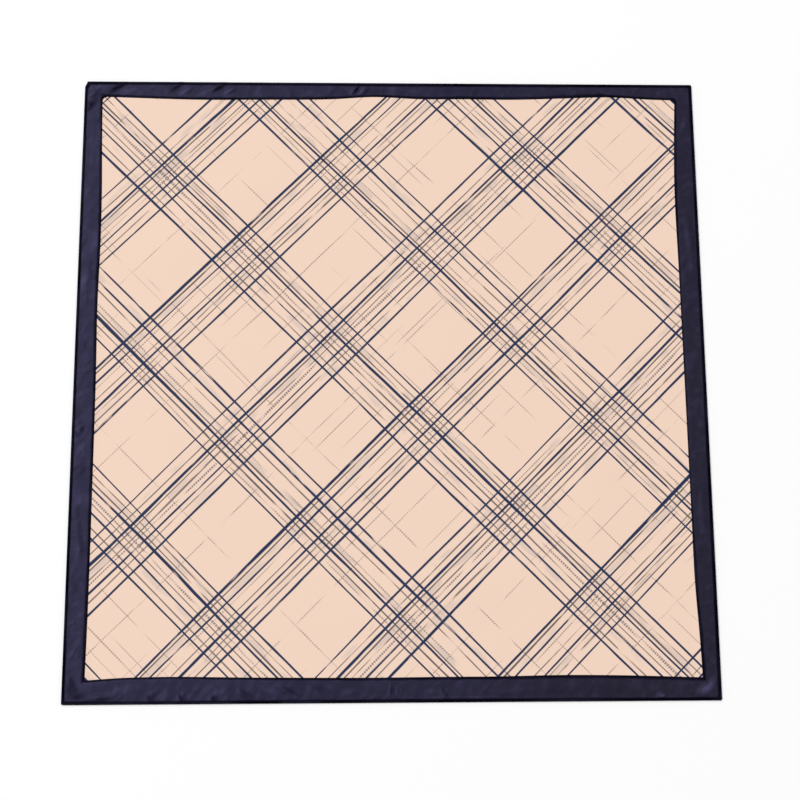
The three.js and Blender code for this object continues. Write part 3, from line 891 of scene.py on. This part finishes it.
def band_strip(context, side, puckers, materials):
    """One strip of the band, from its mitre at one end of a side to that at the other."""
    cloth = context.scene.scarf_cloth
    finest_step, edge_zone = 0.6, 10
    stations = spaced(-HALF, HALF, cloth.section_step / MM, finest_step, edge_zone)
    section = band_section(cloth)
    hem, seam, width = band_lines(side, stations)
    inward = section[:, 0, None] + section[:, 1, None] * (width - HEM_ZONE - SEAM_ZONE)[None, :]
    share = (inward / width[None, :])[..., None]
    plan = hem[None] * (1 - share) + seam[None] * share
    x, y = plan[..., 0], plan[..., 1]
    from_seam = width[None, :] - inward
    folds = smooth_step(from_seam / FOLD_FADE) * rounded_folds(BAND_CREASES + puckers, x, y)
    lift = folds + rounded_folds(CLOTH_SWELLS, x, y)
    rng = np.random.default_rng([cloth.pucker_seed, SIDE_ORDER.index(side)])
    hem_width = line_width(HEM_LINES[side], stations, rng, spread=0.3)
    seam_width = line_width(SEAM_LINES[side], stations, rng, spread=0.5)
    # The streaks slightly lift the cloth and are painted as shade or highlight in the satin's colour.
    painted_shade_and_shine = rounded_folds(BAND_PAINTED_STREAKS, x, y) * smooth_step(from_seam / STREAK_FADE)
    past_lines = np.minimum(inward - hem_width, from_seam - seam_width)
    in_shade = EDGE_SHADE * (1 - smooth_step((past_lines - EDGE_SHADE_START) / EDGE_SHADE_REACH))
    height = section[:, 2, None]
    upper_from, upper_rise, hem_from, hem_fade = 0.4, 1.1, 2.5, 3
    upper_layer = np.clip((height - upper_from) / upper_rise, 0, 1)
    lifted = upper_layer * smooth_step((inward - hem_from) / hem_fade)
    z = height + lift + np.clip(painted_shade_and_shine, -STREAK_LIMIT, STREAK_LIMIT) * STREAK_HEIGHT * lifted
    points = np.dstack([x, y, z]).reshape(-1, 3)
    rows, columns = len(section), len(stations)
    faces = grid_faces(rows, columns, closed_rows=True)
    # Faces of the rolled hem and the turned seam edge take the near-black material, which is partly painted
    # shade.
    edge_faces = rolled_faces(side, stations, section, inward, width).ravel()
    first = [r * columns for r in range(rows)]
    last = [r * columns + columns - 1 for r in range(rows)]
    faces += [tuple(reversed(first)), tuple(last)]
    piece = new_object(f"border_{side}_satin", points, faces, *materials)
    slots = np.append(edge_faces, [False, False]).astype(np.int32)
    piece.data.polygons.foreach_set("material_index", slots)
    recalculate_normals(piece.data)
    along = np.broadcast_to(stations[None, :], x.shape).reshape(-1)
    cut = np.column_stack([along / (2 * HALF) + 0.5, inward.reshape(-1) / (2 * HALF)])
    set_uv(piece.data, "Cut", cut)
    # Carries the painted shade and highlight of the streaks, less the painted shade beside hem and seam, to
    # the satin's colour.
    layer = piece.data.attributes.new("painted_shade_and_shine", "FLOAT", "POINT")
    layer.data.foreach_set("value", (painted_shade_and_shine - in_shade).reshape(-1).astype(np.float32))
    return piece, float(width.mean())


def recalculate_normals(mesh):
    shape = bmesh.new()
    shape.from_mesh(mesh)
    bmesh.ops.recalc_face_normals(shape, faces=shape.faces)
    shape.to_mesh(mesh)
    shape.free()


class SCARF_OT_border_band(Operator):
    """Makes the four mitred strips of the navy satin band, each with its rolled hem."""

    bl_idname = "scarf.border_band"
    bl_label = "Border band"

    def execute(self, context):
        puckers = small_puckers(context.scene.scarf_cloth)
        materials = navy_satin(context), rolled_edge_painted_shade(context)
        for side in SIDE_ORDER:
            piece, width = band_strip(context, side, puckers, materials)
            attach(piece, ROOT)
            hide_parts(f"border_{side}")
        return {"FINISHED"}


def stitch_tree():
    """Stitches along the given edges: spaced evenly, slanted and a little uneven."""
    tree = bpy.data.node_groups.new("Stitches along edges", "GeometryNodeTree")
    add = partial(add_node, tree)
    sockets = tree.interface
    for name, kind in (("Path", "Geometry"), ("Seed", "Int"), ("Thread", "Material")):
        sockets.new_socket(name, in_out="INPUT", socket_type=f"NodeSocket{kind}")
    for name, low in (("Spacing", 0.0005), ("Length", 0.0002), ("Thickness", 0.0001), ("Arch", 0.0)):
        socket = sockets.new_socket(name, in_out="INPUT", socket_type="NodeSocketFloat")
        socket.subtype = "DISTANCE"
        socket.min_value = low
    sockets.new_socket("Slant", in_out="INPUT", socket_type="NodeSocketFloat").subtype = "ANGLE"
    sockets.new_socket("Stitches", in_out="OUTPUT", socket_type="NodeSocketGeometry")
    given = tree.nodes.new("NodeGroupInput").outputs
    path = add("GeometryNodeMeshToCurve", given["Path"])
    spacing = {"Curve": path, "Length": given["Spacing"]}
    places = add("GeometryNodeResampleCurve", inputs=spacing, mode="LENGTH")
    half = add(MATH, given["Length"], 0.5, operation="MULTIPLY")
    half_back = add(MATH, half, -1.0, operation="MULTIPLY")
    crown_height = add(MATH, given["Arch"], 2.0, operation="MULTIPLY")
    start = add(COMBINE, half_back)
    crown = add(COMBINE, inputs={2: crown_height})
    end = add(COMBINE, half)
    bow_segments = 5
    bow = add("GeometryNodeCurveQuadraticBezier", bow_segments, start, crown, end)
    radius = add(MATH, given["Thickness"], 0.5, operation="MULTIPLY")
    ring = add("GeometryNodeCurvePrimitiveCircle", inputs={"Resolution": 6, "Radius": radius})
    swept = {"Curve": bow, "Profile Curve": ring, "Fill Caps": True}
    stitch = add("GeometryNodeCurveToMesh", inputs=swept)
    tangent = {"Vector": add("GeometryNodeInputTangent")}
    facing = add("FunctionNodeAlignRotationToVector", inputs=tangent, axis="X", pivot_axis="Z")
    between = {"Min": -0.16, "Max": 0.16, "Seed": given["Seed"]}
    uneven = add("FunctionNodeRandomValue", inputs=between, output="Value", data_type="FLOAT")
    turn = add(MATH, given["Slant"], uneven, operation="ADD")
    upright_turn = add(COMBINE, inputs={2: turn})
    slant = add("FunctionNodeEulerToRotation", upright_turn)
    rotation = add("FunctionNodeRotateRotation", facing, slant, rotation_space="LOCAL")
    laid = {"Points": places, "Instance": stitch, "Rotation": rotation}
    placed = add("GeometryNodeInstanceOnPoints", inputs=laid)
    real = add("GeometryNodeRealizeInstances", placed)
    threaded = {"Geometry": real, "Material": given["Thread"]}
    dressed = add("GeometryNodeSetMaterial", inputs=threaded)
    result = tree.nodes.new("NodeGroupOutput")
    tree.links.new(dressed, result.inputs[0])
    return tree


def stitches_along(name, tree, path_mm, settings):
    """Runs the stitch tree on a closed path and keeps its result as a plain mesh."""
    count = len(path_mm)
    path = bpy.data.meshes.new(name)
    path.from_pydata([tuple(p) for p in path_mm * MM], [(i, (i + 1) % count) for i in range(count)], [])
    piece = add_object(name, path)
    modifier = piece.modifiers.new("Stitches", "NODES")
    modifier.node_group = tree
    for item in tree.interface.items_tree:
        if item.in_out == "INPUT" and item.name in settings:
            modifier[item.identifier] = settings[item.name]
    bpy.context.view_layer.update()
    seen = piece.evaluated_get(bpy.context.evaluated_depsgraph_get())
    finished = bpy.data.meshes.new_from_object(seen)
    piece.modifiers.clear()
    piece.data = finished
    finished.shade_smooth()
    return piece


def closed_path(distance_in, height):
    """Points round the scarf at a distance in from the hem line, on the lifted cloth."""
    stations = np.linspace(-HALF, HALF, 240)[:-1]
    plan = []
    for side in SIDE_ORDER:
        hem, seam, width = band_lines(side, stations)
        share = (distance_in(width) / width)[:, None]
        plan.append(hem * (1 - share) + seam * share)
    plan = np.vstack(plan)
    return np.column_stack([plan, height + rounded_folds(CLOTH_SWELLS, plan[:, 0], plan[:, 1])])


class SCARF_OT_stitches(Operator):
    """Makes the hand stitches that hold the rolled hem and the inner edge of the band."""

    bl_idname = "scarf.stitches"
    bl_label = "Stitches"

    def execute(self, context):
        cloth = context.scene.scarf_cloth
        tree = stitch_tree()
        thread = navy_thread(context)
        hem_path = closed_path(lambda width: HEM_STITCHES_IN, HEM_STITCHES_UP)
        seam_path = closed_path(lambda width: width - SEAM_STITCHES_BACK, SEAM_STITCHES_UP)
        rows = (
            ("hem_stitches", hem_path, cloth.hem_stitch_spacing, 1.5, 38, 3),
            ("seam_stitches", seam_path, cloth.seam_stitch_spacing, 1.3, 12, 4),
        )
        for name, path, spacing, length, slant, seed in rows:
            settings = {
                "Spacing": spacing,
                "Length": length * MM,
                "Thickness": cloth.thread_thickness,
                "Arch": 0.12 * MM,
                "Slant": math.radians(slant),
                "Seed": seed,
                "Thread": thread,
            }
            piece = stitches_along(name, tree, path, settings)
            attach(piece, ROOT)
        return {"FINISHED"}


class SCARF_OT_stage(Operator):
    """Sets the pale floor, the soft studio light and the camera."""

    bl_idname = "scarf.stage"
    bl_label = "Stage"

    def execute(self, context):
        scene, stage = context.scene, context.scene.scarf_stage
        scene.view_settings.view_transform = "Standard"
        make_floor(context)
        make_lights(context)
        make_camera(scene, stage)
        return {"FINISHED"}


def make_floor(context):
    material, _add, shader = new_material("pale_floor")
    set_inputs(shader, {"Base Color": four(context.scene.scarf_colours.floor), "Roughness": 0.9})
    reach = 12000
    corners = [(-reach, -reach, 0), (reach, -reach, 0), (reach, reach, 0), (-reach, reach, 0)]
    floor = new_object("floor", np.array(corners, dtype=float), [(0, 1, 2, 3)], material)


def make_lights(context):
    """Even light from all round, and one large softbox from the upper left."""
    stage = context.scene.scarf_stage
    world = bpy.data.worlds.new("even_light")
    world.use_nodes = True
    even = {0: (1.0, 1.0, 1.0, 1.0), 1: stage.world_strength}
    set_inputs(world.node_tree.nodes["Background"], even)
    context.scene.world = world
    data = bpy.data.lights.new("softbox", "AREA")
    data.shape = "RECTANGLE"
    data.energy = stage.key_power
    data.size, data.size_y = 16.0, 19.2
    softbox = add_object("softbox", data)
    softbox.location = (-11.52, 7.04, 22.4)
    softbox.rotation_euler = (-softbox.location).to_track_quat("-Z", "Y").to_euler()


def make_camera(scene, stage):
    """The camera of the photograph: placed by its solved angles, and rolled a little."""
    az, el = stage.azimuth, stage.elevation
    back = Vector((math.sin(az) * math.cos(el), -math.cos(az) * math.cos(el), math.sin(el)))
    right = (-back).cross(Vector((0, 0, 1))).normalized()
    up = right.cross(-back)
    turned_right = math.cos(stage.roll) * right + math.sin(stage.roll) * up
    turned_up = math.cos(stage.roll) * up - math.sin(stage.roll) * right
    data = bpy.data.cameras.new("camera")
    data.lens = stage.lens
    data.sensor_width = 36
    camera = add_object("camera", data)
    axes = Matrix((turned_right, turned_up, back)).transposed().to_4x4()
    camera.matrix_world = Matrix.Translation(Vector(stage.target) + back * stage.distance) @ axes
    scene.camera = camera


class SCARF_PT_sidebar(Panel):
    """Lists the steps that make the scarf."""

    bl_idname = "SCARF_PT_sidebar"
    bl_label = "Silk scarf"
    bl_space_type = "VIEW_3D"
    bl_region_type = "UI"
    bl_category = "Scarf"

    def draw(self, context):
        for operator in OPERATORS:
            self.layout.operator(operator.bl_idname)


OPERATORS = (SCARF_OT_stage, SCARF_OT_centre_panel, SCARF_OT_border_band, SCARF_OT_stitches)
GROUPS = {
    "scarf_cloth": ScarfCloth,
    "scarf_print": ScarfPrint,
    "scarf_colours": ScarfColours,
    "scarf_stage": ScarfStage,
}
CLASSES = (*GROUPS.values(), *OPERATORS, SCARF_PT_sidebar)


def register():
    for each in CLASSES:
        bpy.utils.register_class(each)
    for name, group in GROUPS.items():
        setattr(bpy.types.Scene, name, PointerProperty(type=group))


def unregister():
    for name in GROUPS:
        delattr(bpy.types.Scene, name)
    for each in reversed(CLASSES):
        bpy.utils.unregister_class(each)


def main():
    register()
    bpy.ops.scarf.stage()
    bpy.ops.scarf.centre_panel()
    bpy.ops.scarf.border_band()
    bpy.ops.scarf.stitches()
    bpy.context.view_layer.update()


if __name__ == "__main__":
    main()
